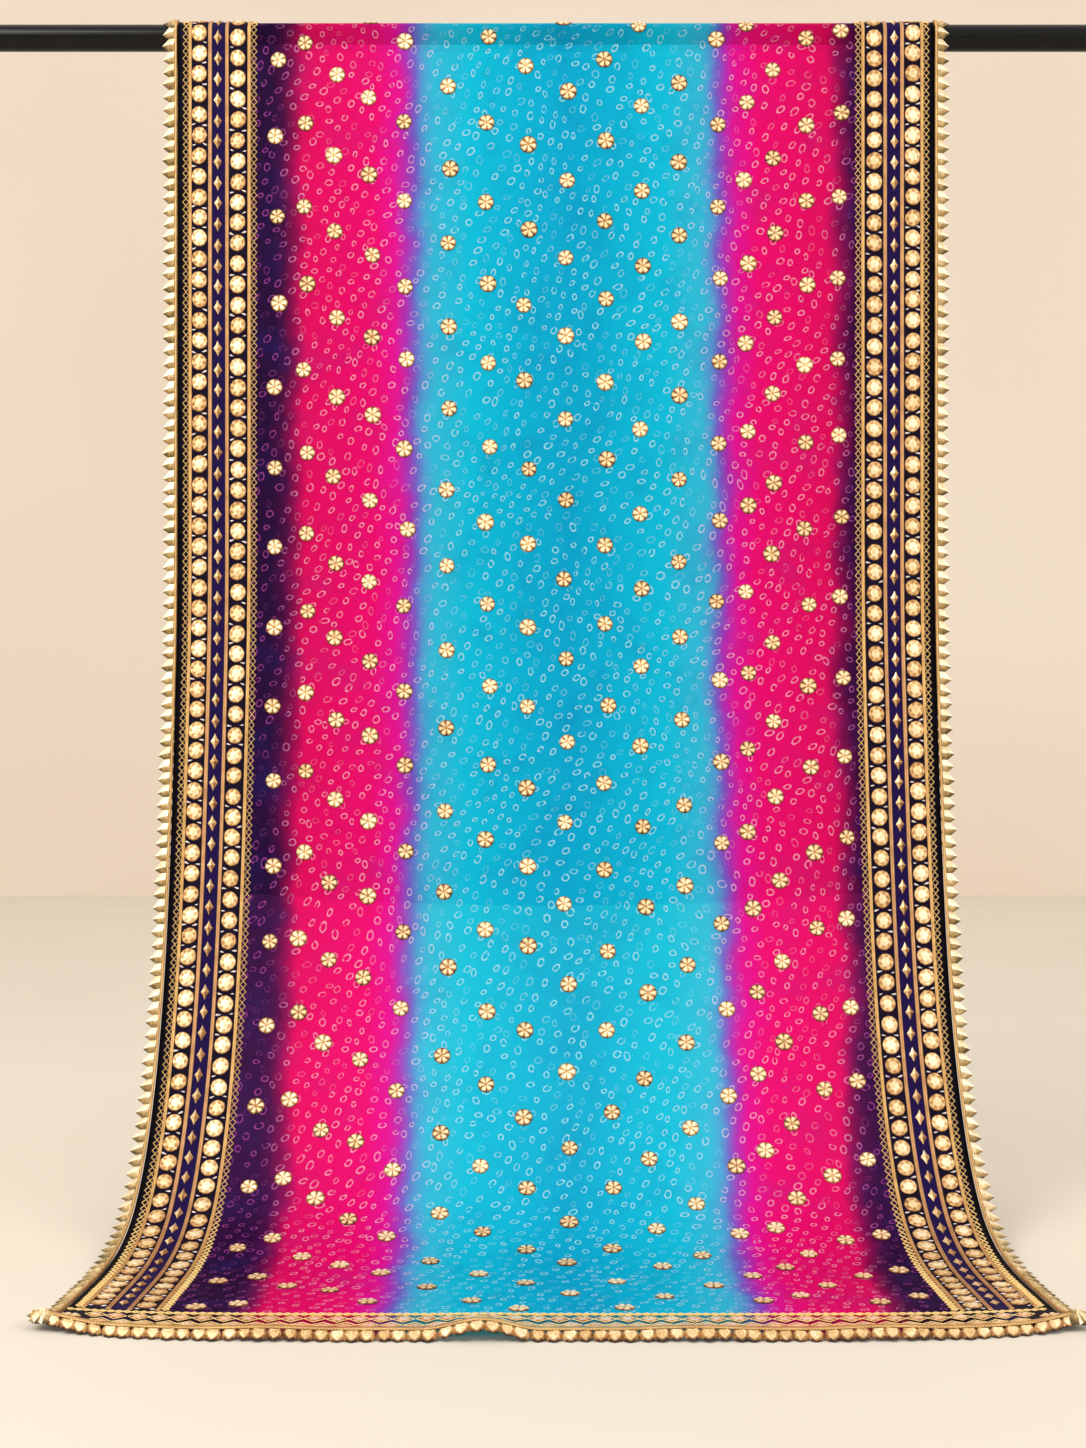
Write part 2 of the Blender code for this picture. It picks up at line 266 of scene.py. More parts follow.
def close_edit():
    """Merge doubles, point all faces outwards and leave edit mode."""
    bpy.ops.mesh.select_mode(type="VERT")
    pick_all()
    bpy.ops.mesh.remove_doubles(threshold=SAME_POINT)
    bpy.ops.mesh.normals_make_consistent(inside=False)
    bpy.ops.object.mode_set(mode="OBJECT")


def new_object(name, data):
    """Put a mesh or a lamp in the scene."""
    made = bpy.data.objects.new(name, data)
    bpy.context.scene.collection.objects.link(made)
    return made


def evenly(low, high, count):
    """Evenly spaced numbers from low to high."""
    return [float(value) for value in np.linspace(low, high, count)]


def points_of(piece):
    """A piece's points as rows of x, y and z."""
    values = np.empty(len(piece.data.vertices) * 3)
    piece.data.vertices.foreach_get("co", values)
    return values.reshape(-1, 3)


def keep(mesh, name, domain, values):
    """Write a number on each corner or each point of a mesh."""
    mesh.attributes.new(name, "FLOAT", domain).data.foreach_set("value", values)


def keep_shade(piece, rule):
    """Write on each corner its painted shade, high in a crease, by its own and its face's place."""
    mesh = piece.data
    keep(mesh, "shade", "CORNER", [rule(mesh.vertices[corner].co, face.center)
                                   for face in mesh.polygons for corner in face.vertices])


def copies(motif, name, places):
    """One mesh of copies of a flat motif, each with its own tone."""
    base = points_of(motif)
    faces = [list(face.vertices) for face in motif.data.polygons]
    looks = [[motif.data.attributes["shade"].data[loop].value for loop in face.loop_indices]
             for face in motif.data.polygons]
    points, corners, shades, tones = [], [], [], []
    for index, place in enumerate(places):
        cos, sin = math.cos(place.turn), math.sin(place.turn)
        x, y = base[:, 0] * place.size, base[:, 1] * place.size
        points.append(np.column_stack([
            place.across + place.side * (x * cos - y * sin),
            place.up + x * sin + y * cos,
            place.out + base[:, 2] * place.size]))
        start = index * len(base)
        corners += [[start + corner for corner in face[::place.side]] for face in faces]
        shades += [value for look in looks for value in look[::place.side]]
        tones += [dice.random()] * len(base)
    mesh = bpy.data.meshes.new(name)
    mesh.from_pydata(np.concatenate(points).tolist(), [], corners)
    keep(mesh, "shade", "CORNER", shades)
    keep(mesh, "tone", "POINT", tones)
    return new_object(name, mesh)


def sew_on(piece, material, slot, *nodes):
    """Hang a flat piece, give it its finish and fix it to the shawl."""
    flat = points_of(piece)
    piece.data.vertices.foreach_set("co", hang(flat).ravel())
    piece.data.update()
    piece.data.materials.append(material)
    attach(piece, "root")
    if nodes:
        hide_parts(*nodes)
    pieces_on_cloth.append(piece)
    print(f"{piece.name}: {len(piece.data.polygons)} faces")


# %% [markdown]
# ## Writing materials as sums
# A node tree is hard to read as a list of links. `Wire` wraps the output of a node, so
# that `1 - wire * 2` adds the Math nodes by itself, and `Recipe.add` makes any other node
# from its type, its settings and what goes into its sockets.

# %% Wires and recipes
def operator(operation):
    """A Python operator that adds a Math node, and its reflected form."""
    return (lambda self, other: self.math(operation, self, other),
            lambda self, other: self.math(operation, other, self))


class Wire:
    """A node's output. Python's operators on it add Math nodes."""

    __add__, __radd__ = operator("ADD")
    __sub__, __rsub__ = operator("SUBTRACT")
    __mul__, __rmul__ = operator("MULTIPLY")
    __truediv__, __rtruediv__ = operator("DIVIDE")

    def __init__(self, recipe, socket):
        self.recipe = recipe
        self.socket = socket

    def math(self, operation, *inputs):
        return self.recipe.add("ShaderNodeMath", {"operation": operation}, dict(enumerate(inputs)))

    def __abs__(self):
        return self.math("ABSOLUTE", self)

    def wave(self):
        return self.math("SINE", self)

    def most(self, other):
        return self.math("MAXIMUM", self, other)

    def beside(self, output):
        """Another output of the same node."""
        return Wire(self.recipe, self.socket.node.outputs[output])

    def step(self, low, high):
        """Nothing below low, one above high, smooth between them."""
        return self.recipe.add(
            "ShaderNodeMapRange", {"interpolation_type": "SMOOTHSTEP"},
            {"Value": self, "From Min": low, "From Max": high})


class Recipe:
    """A material and its nodes."""

    def __init__(self, name):
        self.material = bpy.data.materials.new(name)
        self.material.use_nodes = True
        self.nodes = self.material.node_tree.nodes
        self.links = self.material.node_tree.links
        self.shader = self.nodes["Principled BSDF"]

    def feed(self, socket, value):
        """Link a wire to a socket, or set the socket's own value."""
        if isinstance(value, Wire):
            self.links.new(value.socket, socket)
        elif socket.type == "RGBA":
            socket.default_value = (*value, 1.0)
        else:
            socket.default_value = value

    def add(self, kind, settings, sockets, output=0):
        """Any node: its type, its settings, and the values or wires of its sockets."""
        node = self.nodes.new(kind)
        for name, value in settings.items():
            if name == "stops":
                set_stops(node.color_ramp, value)
            else:
                setattr(node, name, value)
        for name, value in sockets.items():
            self.feed(node.inputs[name], value)
        return Wire(self, node.outputs[output])

    def set(self, **sockets):
        """Set or link the shader's sockets, an underscore standing for a space."""
        for name, value in sockets.items():
            self.feed(self.shader.inputs[name.replace("_", " ")], value)

    def mix(self, share, first, second):
        return self.add("ShaderNodeMix", {"data_type": "RGBA"}, {0: share, 6: first, 7: second}, 2)

    def mix_shader(self, share, first, second):
        return self.add("ShaderNodeMixShader", {}, {0: share, 1: first, 2: second})

    def vector(self, operation, *inputs, output=0):
        return self.add("ShaderNodeVectorMath", {"operation": operation},
                        dict(enumerate(inputs)), output)

    def turn(self, vector, angle):
        return self.add("ShaderNodeVectorRotate", {"rotation_type": "Z_AXIS"},
                        {"Vector": vector, "Angle": angle})

    def ramp(self, value, stops):
        return self.add("ShaderNodeValToRGB", {"stops": stops}, {"Fac": value})

    def noise(self, place, scale, detail=3.0, roughness=0.5):
        return self.add("ShaderNodeTexNoise", {},
                        {"Vector": place, "Scale": scale, "Detail": detail, "Roughness": roughness})

    def attribute(self, name):
        return self.add("ShaderNodeAttribute", {"attribute_name": name}, {}, 2)

    def flat_place(self):
        """The place on the flat shawl: metres across and metres up."""
        place = self.add("ShaderNodeUVMap", {"uv_map": "flat"}, {})
        across = self.add("ShaderNodeSeparateXYZ", {}, {0: place})
        return place, across, across.beside(1)

    def object_place(self):
        return self.add("ShaderNodeTexCoord", {}, {}, 3)

    def bump(self, height, strength, distance):
        self.set(Normal=self.add("ShaderNodeBump", {},
                                 {"Height": height, "Strength": strength, "Distance": distance}))


def paint(red, green, blue):
    """A colour as a painter reads it, 0 to 255, made linear for the shader."""
    return tuple((value / 255) ** 2.2 for value in (red, green, blue))


def set_stops(ramp, stops):
    """Give a ramp its stops, each a place and a painter's colour."""
    while len(ramp.elements) < len(stops):
        ramp.elements.new(1.0)
    for element, (place, color) in zip(ramp.elements, stops):
        element.position = place
        element.color = (*paint(*color), 1.0)


print("cream", [round(value, 3) for value in paint(255, 236, 196)])

# %% [markdown]
# ## Gold foil
# Gota is a ribbon of metal foil on a thread. Where it is pressed up it looks almost white,
# and brown in its folds; here both are painted: the colour runs from cream to brown by the
# `shade` of each corner, which is painted highlight and painted shade. It is moved a little
# by the copy's `tone` and by the crinkles of the foil. The points are greener and the laces
# more orange, and the discs of the end border are rosier, which is a painted reflection.

# %% Gold foil
SHADE_STOPS = (0.00, 0.24, 0.50, 0.76, 1.00)
LACE_SHADE_STOPS = (0.00, 0.30, 0.56, 0.80, 1.00)
GOLD = ((255, 242, 206), (234, 198, 140), (188, 136, 78), (112, 68, 32), (42, 24, 10))
ROSE_REFLECTION = ((255, 230, 200), (238, 186, 140), (196, 128, 78), (122, 66, 34), (48, 26, 14))
OLIVE = ((255, 246, 216), (234, 206, 156), (172, 140, 86), (94, 76, 42), (42, 32, 16))
ORANGE = ((255, 218, 140), (252, 190, 98), (212, 138, 60), (122, 68, 28), (48, 26, 10))


def foil(name, colors, brown_shift, metallic, roughness, shade_stops=SHADE_STOPS):
    """Crinkled foil coloured by its painted shade; a shift moves it all from cream to brown."""
    recipe = Recipe(name)
    place = recipe.object_place()
    tone = recipe.attribute("tone")
    crinkle = recipe.noise(place, 800.0, 2.0, 0.6)
    cloudy = recipe.noise(place, 210.0, 1.0)
    uneven_foil = (tone - 0.5) * 0.22 + (crinkle - 0.5) * 0.55 + (cloudy - 0.5) * 0.45
    # Painted shade picks the colour, from a cream painted highlight to brown painted shade, moved by
    # the foil's overall shift and its uneven tone.
    depth = recipe.attribute("shade") + brown_shift + uneven_foil
    recipe.set(Base_Color=recipe.ramp(depth, list(zip(shade_stops, colors))), Metallic=metallic,
               Roughness=roughness + (cloudy - 0.5) * 0.25 + tone * 0.08)
    recipe.bump(crinkle, 0.35, 0.0006)
    return recipe.material


disc_foil = foil("disc_foil", GOLD, 0.12, 0.35, 0.30)
# The rose tint of the end border's discs is a painted reflection.
rose_reflection_foil = foil("rose_reflection_foil", ROSE_REFLECTION, 0.06, 0.35, 0.32)
shell_foil = foil("shell_foil", GOLD, 0.20, 0.35, 0.32)
point_foil = foil("point_foil", OLIVE, -0.03, 0.36, 0.34)
flower_foil = foil("flower_foil", GOLD, 0.03, 0.30, 0.34)
lace_foil = foil("lace_foil", ORANGE, -0.20, 0.05, 0.42, LACE_SHADE_STOPS)
print("foils:", disc_foil.name, point_foil.name, flower_foil.name, lace_foil.name)

# %% [markdown]
# ## Gold and copper braid
# The braids are metal threads plaited into a narrow band. Two sets of slanting waves that
# cross give the plait its look: the same pattern lifts the threads in the bump and paints
# shade in the hollows between them, over uneven patches of the thread's own tone.

# %% Braids
THREAD_PITCH = 0.0024


def braid_finish(name, light, dark, metallic):
    """Plaited metal thread, slanting both ways over the band, with painted shade between the threads.
    """
    recipe = Recipe(name)
    place, across, up = recipe.flat_place()
    turns = 2 * math.pi / THREAD_PITCH
    one = ((up + across * 0.9) * turns).wave()
    other = ((up - across * 0.9) * turns).wave()
    plait = one.most(other) * 0.5 + 0.5
    patches = recipe.noise(place, 60.0, 3.0)
    # The dark colour in the plait's hollows is painted shade; the patches are the thread's own uneven
    # tone.
    share = (plait * 0.55 + patches * 0.75 - 0.12).step(0.1, 0.95)
    recipe.set(Base_Color=recipe.mix(share, dark, light), Metallic=metallic,
               Roughness=0.46 - share * 0.16)
    recipe.bump(plait, 0.5, 0.0005)
    return recipe.material


gold_thread = braid_finish("gold_thread", paint(234, 188, 118), paint(146, 94, 46), 0.4)
copper_thread = braid_finish("copper_thread", paint(222, 168, 112), paint(128, 76, 42), 0.4)
print("braids:", gold_thread.name, copper_thread.name)

# %% [markdown]
# ## The dyed cloth
# Tie-dyeing leaves two things: bands of colour that bleed into each other where the cloth
# was dipped, and a pale ring with a dark dot wherever a pinch of cloth was tied. The
# bands follow the distance from the middle, pushed about by a slow noise. The rings sit
# on the cells of a Voronoi pattern, each turned, sized and faded by its own chance.
# The cloth is sheer, and what shows through it is tinted by the dye, so the see-through
# part of the material is a mix of three transparent shaders, turquoise, pink and purple.
# Where the cloth is drawn tight over the rod it is thinner still.

# %% Colours across the field
FIELD_MIDDLE = 0.012
FIELD_REACH = 0.43
DYES = [
    (0.000, (0, 174, 214)), (0.055, (0, 186, 220)), (0.110, (16, 198, 226)),
    (0.149, (60, 194, 224)), (0.160, (92, 166, 220)), (0.169, (128, 104, 214)),
    (0.178, (182, 56, 200)), (0.190, (226, 20, 166)), (0.214, (234, 0, 126)),
    (0.292, (224, 0, 104)), (0.305, (146, 2, 84)), (0.316, (80, 6, 72)),
    (0.328, (46, 8, 64)),
]
RING_DYES = [
    (0.000, (186, 244, 250)), (0.140, (196, 230, 250)), (0.182, (252, 176, 226)),
    (0.220, (255, 188, 214)), (0.290, (255, 164, 200)), (0.322, (170, 72, 160)),
]
TINTS = ((0.22, 0.88, 0.98), (0.98, 0.12, 0.50), (0.40, 0.16, 0.44))
CLOTH_OPACITY = 0.57
STRETCHED_THIN = 0.21
ROD_BAND = QUARTER + ROD_RADIUS + 0.001
DYE_EDGE = 0.001
WEAVE_PITCH = 0.0009


# %% Rings left by the ties
RING_CELL = 0.0149
RING_RADIUS = 0.192
RING_LINE = 0.042
RING_SLANT = math.radians(24)


def tied_rings(recipe, place):
    """Pale rings left by the ties, from 0 to 1, and the dark dot inside each."""
    drift = recipe.add("ShaderNodeTexNoise", {}, {"Vector": place, "Scale": 6.0, "Detail": 1.0}, 1)
    pulled = recipe.vector("MULTIPLY_ADD", drift, (0.05, 0.05, 0.0), place)
    turned = recipe.turn(pulled, RING_SLANT)
    scaled = recipe.add("ShaderNodeVectorMath", {"operation": "SCALE"}, {0: turned, 3: 1 / RING_CELL})
    cells = {"Vector": scaled, "Scale": 1.0, "Randomness": 0.50}
    chance = recipe.add("ShaderNodeTexVoronoi", {"voronoi_dimensions": "2D"}, cells, 1)
    first = recipe.add("ShaderNodeSeparateColor", {}, {0: chance})
    second = first.beside(1)
    third = first.beside(2)
    away = recipe.vector("SUBTRACT", scaled, chance.beside(2))
    tilted = recipe.turn(away, first * 1.5 - 0.6)
    oval = recipe.vector("MULTIPLY", tilted, (1.22, 0.88, 0.0))
    radius = recipe.vector("LENGTH", oval, output=1)
    wobble = recipe.noise(place, 220.0, 1.0)
    size = third * 0.08 + (wobble - 0.5) * 0.07 + RING_RADIUS * 0.84
    line = 1 - abs(radius - size).step(RING_LINE * 0.6, RING_LINE * 1.5)
    faint = second.step(0.08, 0.66) * 0.78 + 0.22
    dot = 1 - radius.step(0.02, RING_RADIUS * 0.8)
    return line * faint * wobble.step(0.28, 0.50), dot * faint


# %% Dyed cloth
def field_reach(recipe, across, up, bleed):
    """Distance from the field's middle, larger near the front end, whose bands are narrower."""
    narrow = (0 - up).step(1.05, 1.62) * 0.10 + 1
    return abs(across * narrow + (bleed - 0.5) * 0.030 - FIELD_MIDDLE)


def sheer_mix(recipe, reach, up):
    """What shows through the cloth, tinted by each dye, under the cloth's own colour."""
    on_rod = 1 - abs(up).step(ROD_BAND - 0.0015, ROD_BAND + 0.0005)
    turquoise, pink, purple = [recipe.add("ShaderNodeBsdfTransparent", {}, {"Color": tint})
                               for tint in TINTS]
    sheer = recipe.mix_shader(reach.step(0.155, 0.190), turquoise, pink)
    sheer = recipe.mix_shader(reach.step(0.285, 0.315), sheer, purple)
    body = Wire(recipe, recipe.shader.outputs[0])
    cloth = recipe.mix_shader(CLOTH_OPACITY - on_rod * STRETCHED_THIN, sheer, body)
    recipe.links.new(cloth.socket, recipe.nodes["Material Output"].inputs["Surface"])


def dye_ramp(recipe, reach, dyes):
    """The dye at a distance from the middle."""
    return recipe.ramp(reach / FIELD_REACH, [(start / FIELD_REACH, dye) for start, dye in dyes])


def dyed_cloth():
    """The right side of the cloth: bands, rings, end border and weave."""
    recipe = Recipe("dyed_cloth")
    place, across, up = recipe.flat_place()
    reach = field_reach(recipe, across, up, recipe.noise(place, 14.0, 3.0, 0.55))
    cloudy = recipe.noise(place, 17.0, 2.0, 0.6)
    ground = dye_ramp(recipe, reach, DYES)
    ground = recipe.mix(cloudy.step(0.44, 0.80) * 0.20, ground, paint(20, 50, 150))
    border_up = FRONT_LENGTH - END_BORDER
    border = (0 - up).step(border_up - DYE_EDGE, border_up + DYE_EDGE)
    ground = recipe.mix(border * 0.52, ground, paint(64, 22, 22))
    line, dot = tied_rings(recipe, place)
    open_field = 1 - border
    ground = recipe.mix(dot * open_field * 0.14, ground, paint(10, 20, 110))
    pale = dye_ramp(recipe, reach, RING_DYES)
    ground = recipe.mix(line * open_field * 0.95, ground, pale)
    threads = 2 * math.pi / WEAVE_PITCH
    weave = (across * threads).wave() * (up * threads).wave()
    recipe.set(Base_Color=ground, Roughness=0.62 + weave * 0.08, Specular_IOR_Level=0.10)
    recipe.bump(dot * 0.5 + weave * 0.06 + cloudy * 0.9 + line * 0.3, 0.35, 0.0014)
    sheer_mix(recipe, reach, up)
    return recipe.material


def wrong_side():
    """The wrong side of the cloth: the same dyes, without the rings and the weave."""
    recipe = Recipe("dyed_wrong_side")
    place, across, up = recipe.flat_place()
    reach = field_reach(recipe, across, up, recipe.noise(place, 14.0, 1.0))
    recipe.set(Base_Color=dye_ramp(recipe, reach, DYES), Roughness=0.70, Specular_IOR_Level=0.10)
    sheer_mix(recipe, reach, up)
    return recipe.material


cloth_finish = dyed_cloth()
cloth_wrong_side = wrong_side()
print("cloth:", len(cloth_finish.node_tree.nodes), "nodes")

# %% [markdown]
# ## The dark tapes
# Each side has one wide tape, nearly black at its outer edge, dark violet under the discs
# and indigo in its middle strip. It is a closer weave than the cloth, with a fine rib.

# %% Tape finish
VIOLET = paint(22, 10, 34)
TAPE_BANDS = {0.3666: paint(30, 13, 66), 0.3856: paint(20, 10, 32), 0.4160: paint(7, 4, 5)}
BAND_EDGE = 0.0004
TAPE_RIB = 0.0011
TAPE_THREAD = 0.0008


def tape_finish():
    """Ribbed dark tape in bands of dark violet, indigo and near black."""
    recipe = Recipe("night_tape")
    place, across, up = recipe.flat_place()
    out = abs(across)
    color = VIOLET
    for inner, band in TAPE_BANDS.items():
        color = recipe.mix(out.step(inner - BAND_EDGE, inner + BAND_EDGE), color, band)
    cloudy = recipe.noise(place, 55.0, 4.0, 0.6)
    color = recipe.mix(cloudy.step(0.45, 0.8) * 0.25, color, paint(50, 28, 84))
    rib = (up * (2 * math.pi / TAPE_RIB)).wave() * 0.5 + 0.5
    thread = (across * (2 * math.pi / TAPE_THREAD)).wave() * 0.5 + 0.5
    recipe.set(Base_Color=color, Roughness=0.66 + (cloudy - 0.5) * 0.3, Specular_IOR_Level=0.10)
    recipe.bump(rib * 0.7 + thread * 0.3 + cloudy * 0.4, 0.4, 0.0005)
    return recipe.material


night_tape = tape_finish()
print("tape bands:", 1 + len(TAPE_BANDS))

# %% [markdown]
# ## Sheets and bands
# A sheet of cloth has no primitive that fits its rows, which stand close together only
# where it bends over the rod. So its flat grid is written out in mesh code. Each corner
# also keeps its flat place as UV, in metres, which is what the dye and the weaves read.

# %% Flat grids
ROW_STEP = 0.009
WRAP_ROWS = 26


def rows_up(start, stop):
    """Rows from one length to another, close together over the rod."""
    front = np.linspace(QUARTER, stop, 1 + round((stop - QUARTER) / ROW_STEP))
    back = np.linspace(start, -QUARTER, 1 + round((-QUARTER - start) / ROW_STEP))
    wrap = np.linspace(-QUARTER, QUARTER, WRAP_ROWS)
    return [-float(value) for value in np.concatenate([back[:-1], wrap, front[1:]])]


def level(share):
    """No height at any share across."""
    return 0.0


def flat_grid(name, columns, rows, height=level):
    """A sheet of columns and rows, lifted by its share across, with its flat place as UV."""
    points, faces = [], []
    for row in rows:
        for column in columns:
            share = (column - columns[0]) / (columns[-1] - columns[0])
            points.append((column, row, height(share)))
    wide = len(columns)
    for row in range(len(rows) - 1):
        for column in range(wide - 1):
            low = row * wide + column
            faces.append((low, low + wide, low + wide + 1, low + 1))
    mesh = bpy.data.meshes.new(name)
    mesh.from_pydata(points, [], faces)
    mesh.shade_smooth()
    piece = new_object(name, mesh)
    corners = np.empty(len(mesh.loops), dtype=int)
    mesh.loops.foreach_get("vertex_index", corners)
    mesh.uv_layers.new(name="flat").data.foreach_set("uv", points_of(piece)[corners, :2].ravel())
    return piece


def thicken(piece, thickness, offset, other_side=0):
    """Give a hung sheet its thickness and apply it."""
    only(piece)
    solid = piece.modifiers.new("Thickness", "SOLIDIFY")
    solid.thickness = thickness
    solid.offset = offset
    solid.material_offset = other_side
    solid.use_even_offset = False
    bpy.ops.object.modifier_apply(modifier=solid.name)


print("rows of the whole length:", len(rows_up(-BACK_LENGTH, FRONT_LENGTH)))

# %% [markdown]
# ## The cloth
# One length of sheer cloth hangs over the rod. It is a single thin sheet, so the grid is
# hung first and only then given its thickness, outwards and inwards alike. The inward
# side is the wrong side of the cloth and takes a finish of its own.

# %% Cloth
CLOTH_THICK = 0.0004
CLOTH_COLUMNS = 92

WHOLE_LENGTH = rows_up(-BACK_LENGTH, FRONT_LENGTH)
cloth = flat_grid("shawl_cloth", evenly(-CLOTH_HALF, CLOTH_HALF, CLOTH_COLUMNS), WHOLE_LENGTH)
sew_on(cloth, cloth_finish, "cloth", "cloth")
pieces_on_cloth.remove(cloth)
cloth.data.materials.append(cloth_wrong_side)
thicken(cloth, CLOTH_THICK, 0.0, 1)

# %% [markdown]
# ## Tapes and braids
# The tapes are sewn down first. The braids cover the joins between their coloured bands.
# Each braid is a narrow band with two low ribs.

# %% Tapes and braids
TAPE_OUT = 0.0004
TAPE_THICK = 0.0006
ON_TAPE = TAPE_OUT + TAPE_THICK
TAPE_INNER, TAPE_OUTER = 0.3391, 0.4210
SIDE_STOP = FRONT_LENGTH - END_BORDER - 0.0003

Braid = namedtuple("Braid", "name inner outer finish slot")
BRAIDS = [
    Braid("braid_inner", 0.3396, 0.3436, gold_thread, "gold_braid"),
    Braid("braid_mid_inner", 0.3642, 0.3684, copper_thread, "gold_braid"),
    Braid("braid_mid_outer", 0.3830, 0.3874, copper_thread, "copper_braid"),
    Braid("braid_outer", 0.4054, 0.4092, gold_thread, "gold_braid"),
]
BRAID_CROWN = 0.0011
BRAID_COLUMNS = 9
BRAID_RIBS = 2
BRAID_OUT = ON_TAPE + 0.0004
BRAID_THICK = 0.0003
TAPE_COLUMNS = 10


def ribs(count):
    """Height of a band by its share across, with the given number of ribs."""
    return lambda share: BRAID_CROWN * (0.1 + 0.9 * abs(math.sin(share * count * math.pi)))


def side_columns(side, inner, outer, count):
    """Columns of a band on one side, from left to right."""
    return sorted(side * value for value in evenly(inner, outer, count))


def place_band(name, columns, rows, out, height, thick, material, slot, *nodes):
    """A band of cloth or braid, laid over the cloth at a height."""
    band = flat_grid(name, columns, rows, lambda share: out + height(share))
    sew_on(band, material, slot, *nodes)
    thicken(band, thick, -1.0)


for hand, side in HANDS:
    place_band(f"side_tape_{hand}", side_columns(side, TAPE_INNER, TAPE_OUTER, TAPE_COLUMNS),
               WHOLE_LENGTH, ON_TAPE, level, TAPE_THICK, night_tape, "tape", f"tape_{hand}")
    for braid in BRAIDS:
        place_band(f"plaited_{braid.name}_{hand}",
                   side_columns(side, braid.inner, braid.outer, BRAID_COLUMNS),
                   rows_up(-BACK_LENGTH, SIDE_STOP), BRAID_OUT, ribs(BRAID_RIBS), BRAID_THICK,
                   braid.finish, braid.slot, f"{braid.name}_{hand}")

# %% [markdown]
# ## Crimped discs
# A disc is a small round of ribbon, pressed so that its petals stand up and dimples sink
# between them. Here a flat circle is extruded, inset ring by ring and drawn up in its
# middle. Then one point of each petal on each ring is pushed down to make the dimples:
# every second point on a disc, every third on a flower. The crests and dips of each ring
# get a painted shade of their own, dark in the dips and pale on the crests.

# %% A rosette from a circle
Ring = namedtuple("Ring", "share crest dip crest_shade dip_shade")
PETALS = 6
ON_RING = 1e-5


def raised_circle(name, count, radius, height):
    """A filled circle raised to a height, open in edit mode with its top selected."""
    deselect()
    bpy.ops.mesh.primitive_circle_add(vertices=count, radius=radius, fill_type="NGON")
    piece = edit_new(name)
    bpy.ops.mesh.extrude_region_move(TRANSFORM_OT_translate={"value": (0.0, 0.0, height)})
    return piece


def rosette(name, radius, each, rings, crown, crown_shade):
    """A crimped round with `each` points to a petal, of which the first lies in a dip."""
    count = PETALS * each

    def dips(point):
        return round(math.atan2(point.x, point.y) / (2 * math.pi) * count) % each == 0

    piece = raised_circle(name, count, radius, rings[0].crest)
    for outer, inner in zip(rings, rings[1:]):
        bpy.ops.mesh.inset(thickness=radius * (outer.share - inner.share) * math.cos(math.pi / count))
        shift(z=inner.crest - outer.crest)
    bpy.ops.mesh.poke(offset=crown - rings[-1].crest)
    for ring in rings:
        pick(lambda point: abs(point.xy.length - radius * ring.share) < ON_RING
             and point.z > 0 and dips(point))
        shift(z=ring.dip - ring.crest)
    close_edit()

    # Painted shade: each ring's crests and dips take their own shade, the middle takes the crown's,
    # and the underside the rim's dip shade.
    def depth(point, middle):
        if point.z <= 0.0:
            return rings[0].dip_shade
        nearest = min(rings, key=lambda ring: abs(point.xy.length - radius * ring.share))
        if point.xy.length < radius * rings[-1].share / 2:
            return crown_shade
        return nearest.dip_shade if dips(point) else nearest.crest_shade

    keep_shade(piece, depth)
    return piece


DISC_RADIUS = 0.0098
# The disc's shades paint shade in the dimples and round the rim, and a near-white painted highlight in
# the middle.
DISC_RINGS = [
    Ring(1.00, 0.0007, 0.0005, 0.50, 0.66), Ring(0.86, 0.0016, 0.0011, 0.08, 0.34),
    Ring(0.62, 0.0017, 0.0010, 0.14, 0.42), Ring(0.44, 0.0016, 0.0015, -0.04, 0.00),
]
disc = rosette("disc", DISC_RADIUS, 2, DISC_RINGS, 0.0020, 0.0)
print("disc faces:", len(disc.data.polygons))

# %% [markdown]
# The discs stand in two columns on each tape, close together and a little narrower than
# tall. They are sewn on by hand, so each is turned, moved and sized a little differently.

# %% Lay the discs
DISC_PITCH = 0.0229
DISC_SQUASH = 0.90
DISC_COLUMNS = {"inner": (0.3543, 0.0098), "outer": (0.3971, 0.0040)}


def uneven(spread):
    """A small chance shift either way."""
    return dice.uniform(-spread, spread)


def column_ups(pitch, first, stop=SIDE_STOP):
    """Heights of a column of motifs, from the back's end over the rod to the front's."""
    count = int((BACK_LENGTH + stop - first) / pitch)
    return [BACK_LENGTH - first - pitch * (index + 0.5) for index in range(count)]


only(disc)
stretch(x=DISC_SQUASH)
bpy.ops.object.transform_apply(location=True, rotation=True, scale=True)
places = []
for side in (-1, 1):
    for across, first in DISC_COLUMNS.values():
        places += [Place(side * (across + uneven(0.0004)), up + uneven(0.0006), uneven(0.5),
                         1.0 + uneven(0.035), side, ON_TAPE)
                   for up in column_ups(DISC_PITCH, first)]
sew_on(copies(disc, "gota_discs", places), disc_foil, "gold_lace")

# %% [markdown]
# ## Diamonds
# The indigo strip carries slim diamonds, pressed up to a peak, so that the upper left
# facets catch the light. Their left facets also carry a painted highlight, and the right
# and lower ones painted shade. An eight-sided circle with every second point drawn in
# gives the hollow sides, and a poke lifts the peak.

# %% Diamonds
DIAMOND_HALF_WIDTH, DIAMOND_HALF_HEIGHT = 0.0046, 0.0084
DIAMOND_WAIST = 0.62
DIAMOND_ACROSS = 0.3765
DIAMOND_EDGE = 0.0004
DIAMOND_RISE = 0.0018
DIAMOND_PITCH, DIAMOND_FIRST = 0.0231, 0.0010

diamond = raised_circle("diamond", 8, 1.0, DIAMOND_EDGE)
bpy.ops.mesh.poke(offset=DIAMOND_RISE)
pick(lambda point: min(abs(point.x), abs(point.y)) > 0.1)
stretch(x=DIAMOND_WAIST, y=DIAMOND_WAIST)
pick_all()
stretch(x=DIAMOND_HALF_WIDTH, y=DIAMOND_HALF_HEIGHT)
close_edit()


